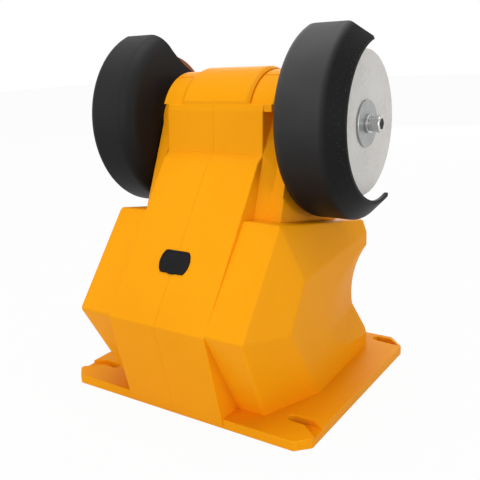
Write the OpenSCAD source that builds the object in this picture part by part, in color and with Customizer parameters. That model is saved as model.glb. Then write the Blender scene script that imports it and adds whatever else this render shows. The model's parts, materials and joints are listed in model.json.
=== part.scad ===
// Mini bench grinder: two guarded wheels on one motor spindle over a faceted pedestal.
// Millimetres, +Z up, the open front of the guards towards -Y.
// The origin is the middle of the base underside.

/* [Base plate] */
// Base plate width, side to side
plate_x = 160; // [152:1:176]
// Base plate depth, front to rear
plate_y = 137; // [128:1:146]
// Base plate thickness
plate_t = 5.5; // [4.5:0.5:8]
// Plan chamfer on the rear corners of the base
plate_chamfer = 7; // [4:0.5:9]
// Plan chamfer on the front corners of the base
front_chamfer = 10.5; // [8:0.5:12]
// Width of a bolt slot
slot_w = 6; // [5.5:0.5:7]
// Distance of the rear slots from the middle line
slot_y = 49; // [46:0.5:52]
// Distance of the front slots from the front edge
slot_front = 6; // [5.5:0.25:8]

/* [Pedestal] */
// Half width of the shoulder
shoulder_half = 53; // [50:0.5:57]
// Height of the shoulder at the rear
shoulder_z = 105; // [100:1:110]
// Height of the shoulder at the front
shoulder_front_z = 86.5; // [78:0.5:96]
// Rear reach of the crease
crease_y = 80; // [74:1:86]
// Height of the crease
crease_z = 56; // [50:1:62]
// Half width of the sides
side_half = 63; // [59:0.5:66]
// Distance of the front face from the middle
front_y = 54; // [50:1:58]
// Radius of the side scoops
scoop_r = 58; // [54:1:74]
// Depth of the side scoops at the front face
scoop_depth = 11.2; // [6:0.2:13]
// Wall thickness of the housing
wall = 2.5; // [2:0.1:3]
// Gap between the housing halves at the parting line
part_gap = 0.2; // [0.1:0.05:0.4]

/* [Neck and barrel] */
// Height of the spindle axis
axis_z = 149.5; // [145:0.5:155]
// Distance of the spindle axis in front of the middle
axis_front = 9.8; // [6:0.2:12]
// Half width of the neck at its foot
neck_half = 45.6; // [45:0.2:48]
// Radius of the motor barrel
barrel_r = 28.5; // [27.5:0.5:31]
// Half length of the motor barrel
barrel_half = 36.5; // [35:0.5:40]
// Height of the raised band over the barrel
band_rise = 2; // [1:0.25:4]
// Half width of the raised band
band_half = 22; // [16:0.5:28]
// Half width of the raised rear panel
panel_half = 31.7; // [31:0.1:34]

/* [Wheels] */
// Radius of the felt polishing wheel
felt_r = 37.5; // [32:0.5:39]
// Thickness of the felt polishing wheel
felt_t = 20; // [16:1:24]
// Radius of the abrasive wheel
stone_r = 39; // [32:0.5:39]
// Thickness of the abrasive wheel
stone_t = 23; // [18:1:23]
// Distance of the outer wheel faces from the middle
wheel_face = 76; // [75:0.5:79]
// Radius of the clamp washers
washer_r = 12.2; // [10:0.2:15]
// Radius of the clamp screw heads
head_r = 4.6; // [4:0.1:6]
// Height of the clamp screw heads
head_h = 6; // [4:0.5:7]

/* [Guards] */
// Outside radius of the guards
guard_r = 52.6; // [50:0.2:56]
// Wall thickness of the guards
guard_t = 2.5; // [2:0.1:3]
// Distance of the mounting face of the guards from the middle
guard_in = 45; // [44.5:0.1:45.6]
// Distance of the outer rim of the guards from the middle
guard_rim = 82.5; // [80:0.5:88]
// Distance of the centre of the guards in front of the spindle
guard_ahead = 5.2; // [0:0.2:7]
// Height of the centre of the guards above the spindle
guard_raise = 1.1; // [0:0.1:3]
// Distance of the front cut of the guards in front of the spindle
guard_cut = 16; // [12:0.5:20]
// Radius of the round window in the guards
window_r = 41.5; // [39.5:0.1:44]
// Width of the bevel between wall and rim
bevel_x = 9.2; // [7:0.2:14]
// Radius of the rounded inner edge
guard_round = 9; // [4:0.5:10]

/* [Motor] */
// Radius of the motor can
can_r = 21; // [19:0.25:21.25]
// Half length of the motor with its end bells
motor_half = 29; // [28:0.25:29.5]
// Radius of the spindle shaft
shaft_r = 4; // [3:0.25:4.5]

/* [Battery and controls] */
// Radius of a battery cell
cell_r = 9.2; // [8:0.1:10]
// Length of a battery cell
cell_len = 65; // [50:1:68]
// Width of the port cover
cover_w = 19.6; // [17:0.2:22]
// Height of the port cover along the slope
cover_h = 12.8; // [11:0.2:14.5]
// Radius of the power button cap
button_r = 6; // [4:0.25:7]
// Travel of the power button
button_travel = 1.5; // [1:0.25:2]

/* [Hidden] */
$fn = 96;

big = 320;
floor_t = 3;
slip = 0.15;
run_fit = 0.05;
axis_y = -axis_front;
eps = 0.01;

// Corner points of the pedestal on the +X side
shoulder_y = crease_y - 0.79 * (shoulder_z - crease_z);
hip_y = 52;
crease_mid = [0, crease_y, crease_z];
side_front = side_half - 3.8;
side_y = hip_y - 17.8;
v_shoulder = [shoulder_half, shoulder_y, shoulder_z];
v_crease = [shoulder_half + 0.3, crease_y, crease_z];
v_hip = [side_half + 0.7, hip_y, crease_z - 5];
v_side = [side_half, side_y, crease_z + 19.6];
v_side_front = [side_front, -front_y, shoulder_front_z - 7];
v_foot_rear = [side_half - 14.5, crease_y - 25, plate_t];
v_foot = [side_half - 0.8, crease_y - 59.5, plate_t];
inside = [0, 0, 40];

PEDESTAL = [
    [v_shoulder, v_crease, crease_mid],
    [v_crease, crease_mid, v_foot_rear],
    [v_shoulder, v_crease, v_hip],
    [v_crease, v_foot_rear, v_foot],
    [[side_half, side_y, 0], [side_front, -front_y, 0], v_side],
    [v_shoulder, v_side, v_side_front],
    [v_shoulder, [0, shoulder_y, shoulder_z], [0, -front_y, shoulder_front_z]],
    [[0, -front_y, 0], [10, -front_y, 0], [0, -front_y, 50]]
];

// Scoop in the side: its start, its fall towards the front, and the plane that flares out below it
scoop_start = [side_half - 1, 11, crease_z - 10];
scoop_front = side_front - scoop_depth;
scoop_fall = 6;
FLARE = [
    [scoop_front + 0.7, -front_y, crease_z - 26],
    [side_front - 0.1, -front_y, crease_z - 43.2],
    [side_half - 1.5, -8.5, crease_z - 37.3]
];

// Bolt slots: inner end, length open through, and depth of the floor at the plate's side
slot_in = plate_x / 2 - 17.3;
slot_run = 5;
slot_drop = 0.8;

// Corner points of the neck on the +X side
neck_top = axis_z + 8.5;
neck_front = -36;
band_slope = 1.25;
v_neck = [neck_half, 28, shoulder_z - 2];
v_neck_top = [neck_half - 1.6, 28 - 0.41 * (neck_top - shoulder_z + 2), neck_top];
NECK = [
    [v_neck, v_neck_top, v_neck - [0, 10, 0]],
    [v_neck, v_neck_top, [0, v_neck[1], v_neck[2]]],
    [[0, neck_front, 0], [10, neck_front, 0], [0, neck_front, 50]],
    [[0, 0, neck_top], [10, 0, neck_top], [0, 10, neck_top]]
];

// Raised rear panel: slope, foot facet, shelf above the slope, upper block and its ledge
v_slope = [0, 24, shoulder_z + 29];
v_low = [0, crease_y + 0.6, crease_z - 0.5];
v_low_foot = [0, plate_y / 2 + 0.6, 0];
v_shelf = [0, 20.5, shoulder_z + 30.4];
v_shelf_low = v_slope + 0.024 * (v_low - v_slope);
v_block = [0, 18.8, neck_top];
v_ledge = [0, 17.2, neck_top + 3.8];
along_x = [10, 0, 0];
PANEL = [
    [v_shelf, v_shelf + along_x, v_shelf_low],
    [v_slope, v_slope + along_x, v_low],
    [v_low, v_low + along_x, v_low_foot]
];
BLOCK = [
    [v_shelf, v_shelf + along_x, v_block],
    [v_block, v_block + along_x, v_ledge]
];

// Facets beside the panel on the +X side
g_panel = [panel_half, v_shelf[1] - 0.3, v_shelf[2] + 0.6];
g_flank = [panel_half + 7, 17.9, shoulder_z + 22.8];
g_top = [panel_half, v_neck_top[1] + 0.9, neck_top - 1];
g_foot = [panel_half + 5.3, 27.5, shoulder_z - 0.5];
GUSSET = [[g_top, g_panel, g_flank], [g_panel, g_foot, g_flank]];

// Slope frame: x across, y down the slope, z out of the panel
slope_run = v_low[1] - v_slope[1];
slope_drop = v_slope[2] - v_low[2];
slope_angle = -atan2(slope_drop, slope_run);
port_at = 0.635;
port_y = v_slope[1] + port_at * slope_run;
port_z = v_slope[2] - port_at * slope_drop;

// Stack along the spindle
hub_r = 17;
hub_in = motor_half + 0.3;
hub_bore = shaft_r + 2;
guard_hole = shaft_r + 5;
flange_r = 13;
flange_t = 2.6;
spigot_r = 5;
sleeve_r = shaft_r + 2.5;
washer_t = 1.5;
shaft_end = wheel_face - 6;
screw_r = 2.5;
screw_len = 14;
guard_screw_at = 12.5;
guard_screw_r = 1.5;
guard_screw_len = 8;
guard_head_r = 2.75;
guard_head_h = 2;
GUARD_SCREWS = [40, 160, 280];

// Guard: wall of the rim, seat on the neck, and room for a wheel that stands out past the rim
guard_y = axis_y - guard_ahead;
guard_z = axis_z + guard_raise;
lip_t = 2.2;
seat_gap = 0.3;
wheel_gap = 0.6;
wheel_reach = max(stone_r, felt_r) + norm([guard_ahead, guard_raise]) + wheel_gap;
window = guard_rim - lip_t > wheel_face ? window_r : max(window_r, wheel_reach);
top_cut_r = 75;
top_cut_y = -49;
top_cut_z = 94.5;

// Motor parts
bell_t = 3;
can_half = motor_half - bell_t;
can_in = can_r - 1.5;
bearing_r = 11;
bearing_t = 6.8;
boss_r = 13.5;
boss_in = motor_half - 8;
magnet_r = can_in - 0.1;
rotor_r = magnet_r - 1.9;
rotor_half = 10.5;
wind_r = rotor_r - 2.2;
comm_r = shaft_r + 3;
rib_in = can_r + slip;
rib_out = barrel_r - wall + 0.3;

// Screw towers between the halves: distance to the rear, height
TOWERS = [
    [crease_y - 22, crease_z - 18],
    [-front_y + 12, 20],
    [-front_y + 12, shoulder_front_z - 16],
    [8, shoulder_z + 5],
    [axis_y - 16.2, axis_z - 28.5]
];
tower_r = 4.3;
tower_screw_r = 1.5;
tower_head_r = 2.8;
tower_head_x = 14;
tower_head_h = 2.4;
tower_tip = -11;
drive_r = 1;

// Board, battery and switch positions
board_w = 44;
board_h = 32;
board_t = 1.6;
board_top = -12;
BOARD_POSTS = [[-17, -11], [17, -11], [-17, 11], [17, 11]];
cell_pitch = 2 * cell_r + 1.6;
cell_y = 5;
cell_z = floor_t + 3.5;
link_half = 3;
link_t = 0.45;
tray_w = 3 * cell_pitch + 4;
tray_d = 2 * cell_r + 5;
button_z = 58;
switch_r = button_r + 2;
switch_len = 16;
pin_len = 6;

function outward(a, b, c) = let(n = cross(b - a, c - a), u = n / norm(n)) u * (inside - a) < 0 ? u : -u;

function slope_point(x, y, z) = [
    x,
    port_y + y * cos(slope_angle) - z * sin(slope_angle),
    port_z + y * sin(slope_angle) + z * cos(slope_angle)
];

// Everything behind the plane through three points, moved in by inset
module behind(p, inset) {
    n = outward(p[0], p[1], p[2]);
    rotate([0, acos(n[2]), atan2(n[1], n[0])])
        translate([-big, -big, n * p[0] - inset - 2 * big])
            cube(2 * big);
}

module block_of(planes, inset) {
    intersection_for (p = planes) behind(p, inset);
}

module box(lo, hi) {
    translate(lo) cube(hi - lo);
}

// Cylinder along X between two positions, about a line at y, z
module rod_x(x0, x1, y, z, r) {
    translate([x0, y, z]) rotate([0, 90, 0]) cylinder(r = r, h = x1 - x0);
}

module ring_x(x0, x1, y, z, r_out, r_in) {
    difference() {
        rod_x(x0, x1, y, z, r_out);
        rod_x(x0 - 1, x1 + 1, y, z, r_in);
    }
}

module on_axis(x0, x1, r) {
    rod_x(x0, x1, axis_y, axis_z, r);
}

module ring_on_axis(x0, x1, r_out, r_in) {
    ring_x(x0, x1, axis_y, axis_z, r_out, r_in);
}

module on_slope() {
    translate([0, port_y, port_z]) rotate([slope_angle, 0, 0]) children();
}

module obround(w, h, z0, z1) {
    for (s = [-1, 1])
        translate([s * (w - h) / 2, 0, z0]) cylinder(d = h, h = z1 - z0);
    translate([-(w - h) / 2, -h / 2, z0]) cube([w - h, h, z1 - z0]);
}

// Disc with two flats
module flatted(w, h, z0, z1) {
    intersection() {
        translate([0, 0, z0]) cylinder(d = w, h = z1 - z0);
        translate([-w, -h / 2, z0 - 1]) cube([2 * w, h, z1 - z0 + 2]);
    }
}

module scoop(inset) {
    turn = -atan2(scoop_start[0] - scoop_front, front_y + scoop_start[1]);
    difference() {
        translate(scoop_start + [scoop_r / cos(turn), 0, 0])
            rotate([90 + scoop_fall, 0, turn])
                translate([0, 0, -big / 4])
                    cylinder(r = scoop_r + inset, h = big, $fn = 160);
        behind(FLARE, inset);
    }
}

module pedestal(inset) {
    difference() {
        intersection() {
            block_of(PEDESTAL, inset);
            box([-1, -big, 0], [big, big, big]);
        }
        scoop(inset);
    }
}

module neck(inset) {
    intersection() {
        block_of(NECK, inset);
        box([-1, -big, crease_z + 6], [big, big, big]);
    }
}

module panel(inset) {
    intersection() {
        block_of(PANEL, inset);
        box([-1, 0, 0], [panel_half - inset, big, v_slope[2] + 16]);
    }
    intersection() {
        block_of(BLOCK, inset);
        box([-1, axis_y, shoulder_z - 5], [panel_half - inset, big, v_ledge[2] - inset]);
    }
}

module barrel() {
    difference() {
        union() {
            on_axis(-1, barrel_half, barrel_r);
            on_axis(-1, band_half - band_slope, barrel_r + band_rise);
            translate([band_half - band_slope - eps, axis_y, axis_z]) rotate([0, 90, 0])
                cylinder(r1 = barrel_r + band_rise, r2 = barrel_r - eps, h = 2 * band_slope);
        }
        box([-2, v_neck_top[1] - 1, 0], [big, big, v_ledge[2] - 0.4]);
    }
}

module barrel_space() {
    on_axis(-1, panel_half - wall, barrel_r - wall);
    intersection() {
        on_axis(-1, barrel_half - wall, barrel_r - wall);
        box([-2, -big, v_ledge[2] + 1.2], [big, big, big]);
    }
}

module gusset() {
    intersection() {
        block_of(GUSSET, 0);
        box([panel_half - 0.1, 0, shoulder_z - 12], [neck_half - 2, 60, neck_top - 0.5]);
    }
}

module plate() {
    x = plate_x / 2;
    y = plate_y / 2;
    f = front_chamfer;
    c = plate_chamfer;
    linear_extrude(plate_t)
        polygon([[-1, -y], [x - f, -y], [x, -y + f], [x, y - c], [x - c, y], [-1, y]]);
}

// A slot along X at y: open through at its inner end, with a floor that rises towards the plate's side
module slot(y, mouth) {
    h = slot_w / 2;
    difference() {
        translate([0, y, -1]) {
            translate([slot_in, 0, 0]) cylinder(d = slot_w, h = plate_t + 2);
            linear_extrude(plate_t + 2) polygon(concat([[slot_in, h], [slot_in, -h]], mouth));
        }
        translate([0, y + big / 4, 0]) rotate([90, 0, 0])
            linear_extrude(big / 2)
                polygon([
                    [slot_in + slot_run, -2], [slot_in + slot_run, 0.8],
                    [plate_x / 2 + 2, plate_t - slot_drop], [plate_x / 2 + 2, -2]
                ]);
    }
}

// The rear slots turn out to the plate's side, the front ones end behind the cut corner
module slots() {
    h = slot_w / 2;
    side = plate_x / 2;
    slot(slot_y, [[side - 7.5, -h], [side + 1, 2.7], [side + 1, 11], [side - 9.5, h]]);
    slot(slot_front - plate_y / 2, [[side - 10.3, -h], [side - 2.7, h + 0.6], [side - 6, h + 1.2]]);
}

module outer_half() {
    intersection() {
        union() {
            pedestal(0);
            neck(0);
            panel(0);
            barrel();
            gusset();
            plate();
        }
        box([part_gap / 2, -big, -1], [big, big, big]);
    }
}

// Shallow round seat that keeps the neck clear of a guard
module guard_seat() {
    rod_x(guard_in - seat_gap, big / 2, guard_y, guard_z, guard_r + seat_gap);
}

module space_inside() {
    intersection() {
        union() {
            pedestal(wall);
            neck(wall);
            panel(wall);
            barrel_space();
        }
        box([-2, -big, floor_t], [big, big, big]);
    }
}

module motor_ribs() {
    for (x = [5, 19])
        ring_on_axis(x, x + 3, rib_out, rib_in);
}

module towers() {
    intersection() {
        for (t = TOWERS) rod_x(part_gap / 2, big / 2, t[0], t[1], tower_r);
        outer_half();
    }
}

module board_posts() {
    for (p = BOARD_POSTS)
        if (p[0] > 0)
            on_slope() translate([p[0], p[1], board_top]) cylinder(r = 3, h = -board_top - 1.5);
}

// One half of the housing on the +X side, without its screw holes
module housing_half() {
    difference() {
        union() {
            difference() {
                union() {
                    difference() {
                        outer_half();
                        space_inside();
                    }
                    motor_ribs();
                    towers();
                    board_posts();
                }
                guard_seat();
            }
            on_axis(hub_in, guard_in, hub_r);
        }
        slots();
        on_axis(hub_in - 1, guard_in + 1, hub_bore);
        for (a = GUARD_SCREWS)
            guard_screw_line(a) cylinder(r = guard_screw_r + run_fit, h = guard_t + guard_screw_len + 1.5);
        on_slope() flatted(cover_w + 0.8, cover_h + 0.8, -1.2, 5);
        on_slope() flatted(cover_w - 3.6, cover_h - 4.4, -wall - 4, 5);
        for (p = BOARD_POSTS)
            on_slope() translate([p[0], p[1], board_top - 1]) cylinder(r = 1.05, h = 8);
        translate([0, -front_y - 5, button_z]) rotate([-90, 0, 0]) cylinder(r = switch_r + slip, h = switch_len + 10);
    }
}

// A guard screw line on the +X side, from the guard wall inwards
module guard_screw_line(a) {
    translate([guard_in + guard_t, axis_y + guard_screw_at * cos(a), axis_z + guard_screw_at * sin(a)])
        rotate([0, -90, 0]) children();
}

module housing_right() {
    color("#F9A814")
        difference() {
            housing_half();
            for (t = TOWERS) {
                rod_x(-1, big / 2, t[0], t[1], tower_screw_r + 0.2);
                rod_x(tower_head_x, big / 2, t[0], t[1], tower_head_r + 0.3);
            }
        }
}

module housing_left() {
    color("#F9A814")
        mirror([1, 0, 0])
            difference() {
                housing_half();
                for (t = TOWERS) rod_x(-1, -tower_tip + 1, t[0], t[1], tower_screw_r + 0.05);
            }
}

module housing_screws() {
    color("#4A4A4C")
        for (t = TOWERS)
            difference() {
                union() {
                    rod_x(tower_tip, tower_head_x + eps, t[0], t[1], tower_screw_r);
                    rod_x(tower_head_x, tower_head_x + tower_head_h, t[0], t[1], tower_head_r);
                }
                rod_x(tower_head_x + 0.8, tower_head_x + 4, t[0], t[1], drive_r);
            }
}

// Section of a guard: x is the distance from its centre line, y runs outwards from the mounting face
module guard_section() {
    wide = guard_rim - guard_in;
    straight = wide - bevel_x;
    inner = guard_r - guard_t;
    corner = guard_r - guard_round;
    difference() {
        union() {
            translate([0, guard_round]) square([guard_r, straight - guard_round]);
            square([corner, guard_round + eps]);
            translate([corner, guard_round]) circle(guard_round);
            polygon([[0, straight - eps], [guard_r, straight - eps], [window + lip_t, wide], [0, wide]]);
        }
        translate([-1, guard_round]) square([inner + 1, straight - guard_round - 0.5]);
        translate([-1, guard_t]) square([corner + 1, guard_round - guard_t + eps]);
        translate([corner, guard_round]) circle(guard_round - guard_t);
        polygon([
            [-1, straight - 1], [inner, straight - 1],
            [window, wide - lip_t], [window, wide + 1], [-1, wide + 1]
        ]);
    }
}

// Front cut of the guards about the spindle, as an area of the y, z plane that is taken away
module guard_front_cut() {
    difference() {
        union() {
            translate([-big, -big]) square([big - guard_cut, 2 * big]);
            translate([top_cut_y, top_cut_z]) circle(top_cut_r, $fn = 128);
        }
        circle(hub_r + 6);
    }
}

module guard() {
    difference() {
        translate([guard_in, guard_y, guard_z]) rotate([0, 90, 0]) rotate_extrude($fn = 160) guard_section();
        translate([guard_in - 2, axis_y, axis_z])
            rotate([90, 0, 90]) linear_extrude(guard_rim) guard_front_cut();
        on_axis(guard_in - 1, guard_in + guard_t + 1, guard_hole);
        for (a = GUARD_SCREWS)
            guard_screw_line(a) translate([0, 0, -1]) cylinder(r = guard_screw_r + seat_gap, h = guard_t + 2);
    }
}

module guard_right() {
    color("#333335") guard();
}

module guard_left() {
    color("#333335") mirror([1, 0, 0]) guard();
}

module guard_screws() {
    color("#4A4A4C")
        for (m = [0, 1])
            mirror([m, 0, 0])
                for (a = GUARD_SCREWS)
                    guard_screw_line(a)
                        difference() {
                            union() {
                                translate([0, 0, -guard_head_h]) cylinder(r = guard_head_r, h = guard_head_h);
                                cylinder(r = guard_screw_r, h = guard_t + guard_screw_len);
                            }
                            translate([0, 0, -guard_head_h - 1]) cylinder(r = drive_r, h = 2);
                        }
}

module motor_can() {
    color("#9A9CA0") ring_on_axis(-can_half, can_half, can_r, can_in);
}

module end_bell() {
    difference() {
        union() {
            on_axis(can_half, motor_half, can_r);
            ring_on_axis(can_half - 2.5, can_half + eps, can_in - 0.05, can_in - 2.5);
            on_axis(boss_in, motor_half, boss_r);
        }
        on_axis(boss_in - 1, boss_in + bearing_t + 0.2, bearing_r + 0.05);
        on_axis(boss_in, motor_half + 1, shaft_r + 2.5);
    }
}

module end_bell_right() {
    color("#8C8E92") end_bell();
}

module end_bell_left() {
    color("#8C8E92") mirror([1, 0, 0]) end_bell();
}

module magnets() {
    color("#5A5C60")
        for (m = [0, 1])
            intersection() {
                ring_on_axis(-14, 14, magnet_r, magnet_r - 1.4);
                translate([-20, axis_y, axis_z])
                    rotate([90, 0, 90]) rotate(180 * m)
                        linear_extrude(40) polygon([[0, 0], [40, -30], [40, 30]]);
            }
}

module bearings() {
    color("#B8BCC2")
        for (m = [0, 1])
            mirror([m, 0, 0])
                difference() {
                    ring_on_axis(boss_in + 0.1, boss_in + 0.1 + bearing_t, bearing_r, shaft_r + run_fit);
                    for (x = [boss_in - 0.4, boss_in + bearing_t - 0.2])
                        ring_on_axis(x, x + 0.8, bearing_r - 2, shaft_r + 2);
                }
}

module brush_holders() {
    color("#B08A3C")
        for (s = [-1, 1])
            translate([boss_in - 5.6, axis_y, axis_z])
                difference() {
                    box_about(s, comm_r + 1.2, can_in - 3.5, 5.6, 3.6);
                    translate([0.7, 0, 0]) box_about(s, 0, can_in, 4.2, 2.15);
                }
}

// Box from r0 to r1 along +Y or -Y, from 0 to long in x, half wide in z
module box_about(s, r0, r1, long, half) {
    box([0, min(s * r0, s * r1), -half], [long, max(s * r0, s * r1), half]);
}

module brushes() {
    color("#2A2A2C")
        for (s = [-1, 1])
            translate([boss_in - 4.8, axis_y, axis_z])
                difference() {
                    box_about(s, comm_r - 2, can_in - 4.5, 4, 2);
                    rotate([0, 90, 0]) translate([0, 0, -1]) cylinder(r = comm_r + 0.3, h = 8);
                }
}

module shaft() {
    color("#C4C8CC")
        difference() {
            on_axis(-shaft_end, shaft_end, shaft_r);
            for (m = [0, 1])
                mirror([m, 0, 0]) on_axis(shaft_end - screw_len, shaft_end + 1, screw_r + 0.05);
        }
}

module rotor_core() {
    color("#7C7E82")
        translate([-rotor_half, axis_y, axis_z])
            rotate([90, 0, 90])
                linear_extrude(2 * rotor_half)
                    difference() {
                        circle(rotor_r);
                        circle(shaft_r + 0.03);
                        for (a = [0 : 60 : 300])
                            rotate(a) {
                                translate([wind_r - 4, -2.6]) square([5, 5.2]);
                                translate([wind_r, -1]) square([8, 2]);
                            }
                    }
}

module windings() {
    color("#B4622C") {
        for (m = [0, 1])
            mirror([m, 0, 0]) ring_on_axis(rotor_half + 0.2, rotor_half + 3.6, wind_r, comm_r + 1.5);
        translate([-rotor_half - 0.5, axis_y, axis_z])
            rotate([90, 0, 90])
                linear_extrude(2 * rotor_half + 1)
                    for (a = [0 : 60 : 300])
                        rotate(a) translate([wind_r - 3.7, -2.3]) square([4.4 - 0.9, 4.6]);
    }
}

module commutator() {
    color("#B8743A")
        difference() {
            ring_on_axis(rotor_half + 0.2, boss_in - 0.5, comm_r, shaft_r + 0.03);
            for (a = [15 : 30 : 345])
                translate([rotor_half + 4.2, axis_y, axis_z])
                    rotate([a, 0, 0]) translate([0, -0.2, comm_r - 0.6]) cube([30, 0.4, 2]);
        }
}

// Inner flange of a wheel on the +X side: sleeve, flange and spigot
module arbor(thick) {
    face = wheel_face - thick;
    difference() {
        union() {
            on_axis(hub_in + 6, face - eps, sleeve_r - 1);
            on_axis(face - flange_t, face, flange_r);
            on_axis(face - eps, wheel_face - 1, spigot_r);
        }
        on_axis(0, wheel_face + 1, shaft_r + 0.03);
    }
}

module arbor_right() {
    color("#AEB2B6") arbor(stone_t);
}

module arbor_left() {
    color("#AEB2B6") mirror([1, 0, 0]) arbor(felt_t);
}

module stone_wheel() {
    color("#B9684A") ring_on_axis(wheel_face - stone_t + 0.02, wheel_face, stone_r, spigot_r + slip);
}

module felt_wheel() {
    color("#C9C5C0")
        mirror([1, 0, 0]) ring_on_axis(wheel_face - felt_t + 0.02, wheel_face, felt_r, spigot_r + slip);
}

module clamp_washers() {
    color("#B9C0C6")
        for (m = [0, 1])
            mirror([m, 0, 0])
                ring_on_axis(wheel_face + 0.02, wheel_face + washer_t, washer_r, screw_r + 0.3);
}

module spring_washers() {
    x0 = wheel_face + washer_t + 0.02;
    color("#8E9498")
        for (m = [0, 1])
            mirror([m, 0, 0])
                difference() {
                    ring_on_axis(x0, x0 + 1.4, screw_r + 1.9, screw_r + 0.2);
                    translate([x0 - 1, axis_y, axis_z]) rotate([20, 0, 0]) translate([0, 0, screw_r])
                        rotate([0, 0, 20]) translate([-1, -0.3, -2]) cube([6, 0.6, 8]);
                }
}

module clamp_screws() {
    x0 = wheel_face + washer_t + 1.46;
    color("#B4BAC0")
        for (m = [0, 1])
            mirror([m, 0, 0])
                difference() {
                    union() {
                        on_axis(shaft_end - screw_len + 2, x0 + eps, screw_r);
                        on_axis(x0, x0 + head_h, head_r);
                    }
                    translate([x0 + head_h - 3, axis_y, axis_z]) rotate([0, 90, 0])
                        cylinder(r = head_r * 0.5, h = 5, $fn = 6);
                }
}

module battery_cells() {
    color("#3E7C86")
        for (i = [-1, 0, 1])
            translate([i * cell_pitch, cell_y, cell_z]) {
                cylinder(r = cell_r, h = cell_len - 1);
                cylinder(r = 3, h = cell_len);
            }
}

module battery_tray() {
    color("#2E2E30")
        difference() {
            box([-tray_w / 2, cell_y - tray_d / 2, floor_t], [tray_w / 2, cell_y + tray_d / 2, cell_z + 8]);
            for (i = [-1, 0, 1])
                translate([i * cell_pitch, cell_y, cell_z - 0.6]) cylinder(r = cell_r + slip, h = 20);
            link_channel(cell_z - 0.6, cell_z + 1);
        }
}

module battery_cap() {
    top = cell_z + cell_len;
    color("#2E2E30")
        difference() {
            box([-tray_w / 2, cell_y - tray_d / 2, top - 7], [tray_w / 2, cell_y + tray_d / 2, top + 2.5]);
            for (i = [-1, 0, 1])
                translate([i * cell_pitch, cell_y, top - 20]) cylinder(r = cell_r + slip, h = 20.7);
            link_channel(top - 1, top + 0.7);
        }
}

// Link between the cells at two positions, standing on height z
module link(x0, x1, z) {
    box([x0 - link_half, cell_y - link_half, z], [x1 + link_half, cell_y + link_half, z + link_t]);
}

// Room for the links across all the cells
module link_channel(z0, z1) {
    half = link_half + slip;
    box([-cell_pitch - half, cell_y - half, z0], [cell_pitch + half, cell_y + half, z1]);
}

module cell_links() {
    top = cell_z + cell_len + run_fit;
    low = cell_z - run_fit - link_t;
    color("#C8CCD0") {
        link(-cell_pitch, 0, top);
        link(cell_pitch, cell_pitch, top);
        link(0, cell_pitch, low);
        link(-cell_pitch, -cell_pitch, low);
    }
}

module control_board() {
    color("#2C6B45")
        on_slope()
            difference() {
                union() {
                    translate([-board_w / 2, -board_h / 2, board_top - board_t]) cube([board_w, board_h, board_t]);
                    translate([-12, -14, board_top - board_t - 2]) cube([8, 8, 2 + eps]);
                    translate([2, -14, board_top - board_t - 4]) cube([11, 11, 4 + eps]);
                    translate([-6, 7, board_top - board_t - 1.5]) cube([12, 5, 1.5 + eps]);
                }
                for (p = BOARD_POSTS)
                    translate([p[0], p[1], board_top - 5]) cylinder(r = 1.3, h = 10);
            }
}

module board_screws() {
    color("#4A4A4C")
        on_slope()
            for (p = BOARD_POSTS)
                translate([p[0], p[1], board_top - board_t]) {
                    translate([0, 0, -1.5]) cylinder(r = 2.2, h = 1.5);
                    translate([0, 0, -eps]) cylinder(r = 1, h = board_t + 5);
                }
}

module charge_socket() {
    color("#A8ACB0")
        on_slope()
            difference() {
                obround(9, 3.6, board_top + 0.02, -4.6);
                obround(8, 2.6, -10, -4);
                translate([-3, -0.35, -20]) cube([6, 0.7, 9]);
            }
}

// The cover closes the port; it swings about the upper edge of its outer face
module port_cover() {
    color("#1E1E20")
        on_slope() {
            flatted(cover_w, cover_h, -1.1, 0.6);
            difference() {
                flatted(cover_w - 5, cover_h - 6, -3.6, -1.1 + eps);
                flatted(cover_w - 7.4, cover_h - 8.4, -5, -1.8);
            }
            translate([-2, cover_h / 2 - 1, 0.1]) cube([4, 1.6, 0.5]);
        }
}

module switch_body() {
    color("#3A3A3C")
        translate([0, -front_y, button_z]) rotate([-90, 0, 0])
            difference() {
                union() {
                    translate([0, 0, -1.8]) cylinder(r = switch_r + 2, h = 1.8 - 0.02);
                    translate([0, 0, -eps - 0.02]) cylinder(r = switch_r, h = switch_len);
                    for (x = [-2.5, 1.5])
                        translate([x, -0.4, switch_len - 1]) cube([1.2, 0.8, pin_len + 1]);
                }
                translate([0, 0, -3]) cylinder(r = button_r + 0.3, h = 11);
            }
}

module switch_nut() {
    color("#55565A")
        translate([0, -front_y + wall + 0.05, button_z]) rotate([-90, 0, 0])
            difference() {
                cylinder(r = switch_r + 3, h = 3, $fn = 6);
                translate([0, 0, -1]) cylinder(r = switch_r + slip, h = 6);
            }
}

module power_button() {
    color("#B23A2C")
        translate([0, -front_y - 4.2, button_z]) rotate([-90, 0, 0])
            cylinder(r = button_r, h = 4.2 + 8 - 1.2 - button_travel + 0.9);
}

module lead(points) {
    for (i = [0 : len(points) - 2]) {
        a = points[i];
        d = points[i + 1] - a;
        translate(a) rotate([0, acos(d[2] / norm(d)), atan2(d[1], d[0])]) cylinder(r = 1, h = norm(d), $fn = 24);
        translate(points[i + 1]) sphere(r = 1.1, $fn = 24);
    }
}

module wires() {
    y0 = -front_y + switch_len + pin_len + 1.5;
    over = cell_z + cell_len + 3.6;
    tray_y = cell_y + tray_d / 2;
    color("#A02C28") {
        lead([[-1.9, y0, button_z], [-1.9, y0 + 8, over + 4], [-1.9, -8, over], [-1.9, 0, over]]);
        lead([[2.1, y0, button_z], [2.1, y0 + 6, over + 20], [2.1, axis_y, axis_z - can_r - 1.2]]);
        lead([[0, tray_y - 8, over], [0, tray_y + 2, over], slope_point(0, 0, board_top - board_t - 1.1)]);
    }
}

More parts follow.
